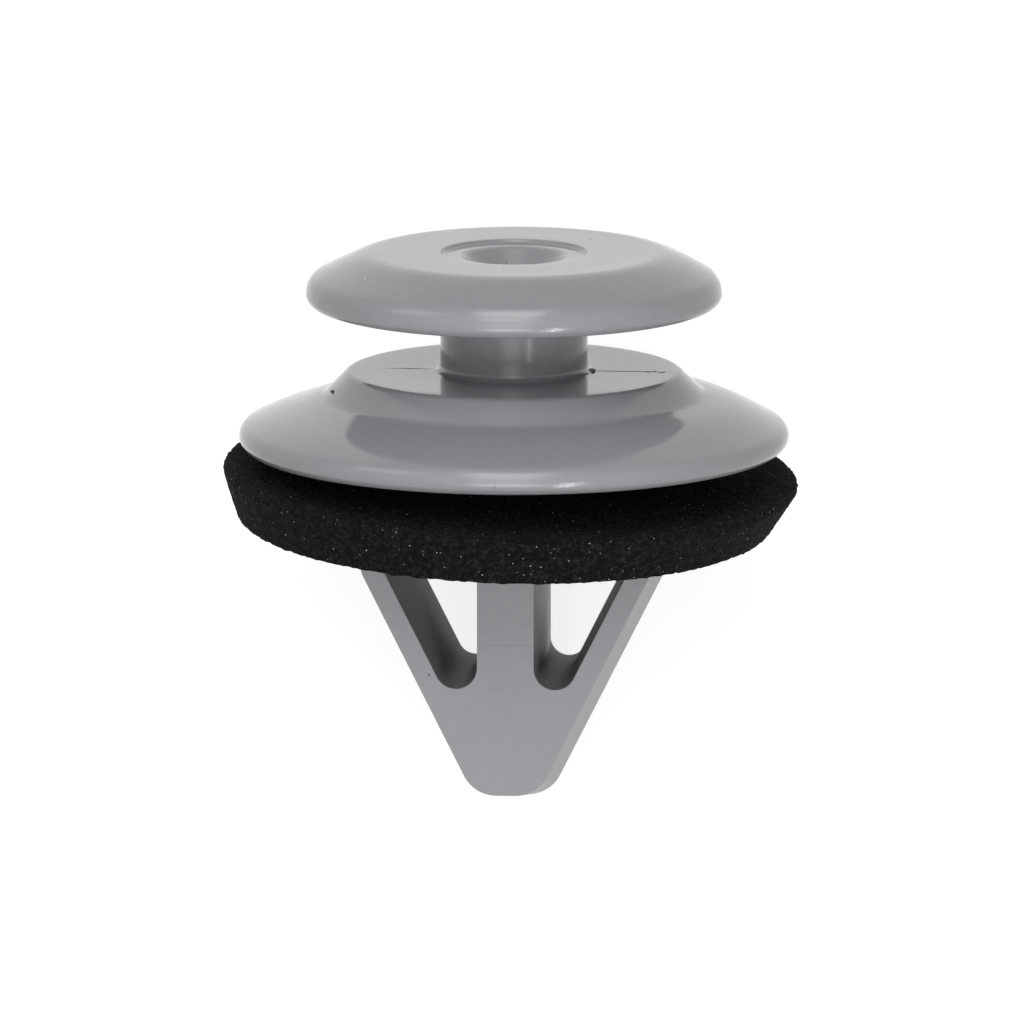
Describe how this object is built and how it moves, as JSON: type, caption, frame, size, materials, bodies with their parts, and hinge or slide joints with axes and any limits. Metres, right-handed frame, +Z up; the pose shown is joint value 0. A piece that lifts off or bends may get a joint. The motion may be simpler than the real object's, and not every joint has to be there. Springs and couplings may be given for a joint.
{
  "type": "retaining clip",
  "caption": "Push-in trim retaining clip: grooved head, dished flange and split W-shaped prong in one grey moulding, with a black foam sealing ring under the flange.",
  "frame": {"origin": "middle of the footprint of the lying clip, on the surface it lies on", "axes": "+Y from the prong's tip towards the head along the surface, +Z up, +X across the W-shaped prong"},
  "size_m": [0.021, 0.0216, 0.0191],
  "materials": {
    "clip_body": "satin moulded acetal",
    "sealing_ring": "matte closed-cell foam rubber"
  },
  "bodies": {
    "root": {"clip_body": "clip_body", "sealing_ring": "sealing_ring"}
  },
  "joints": []
}
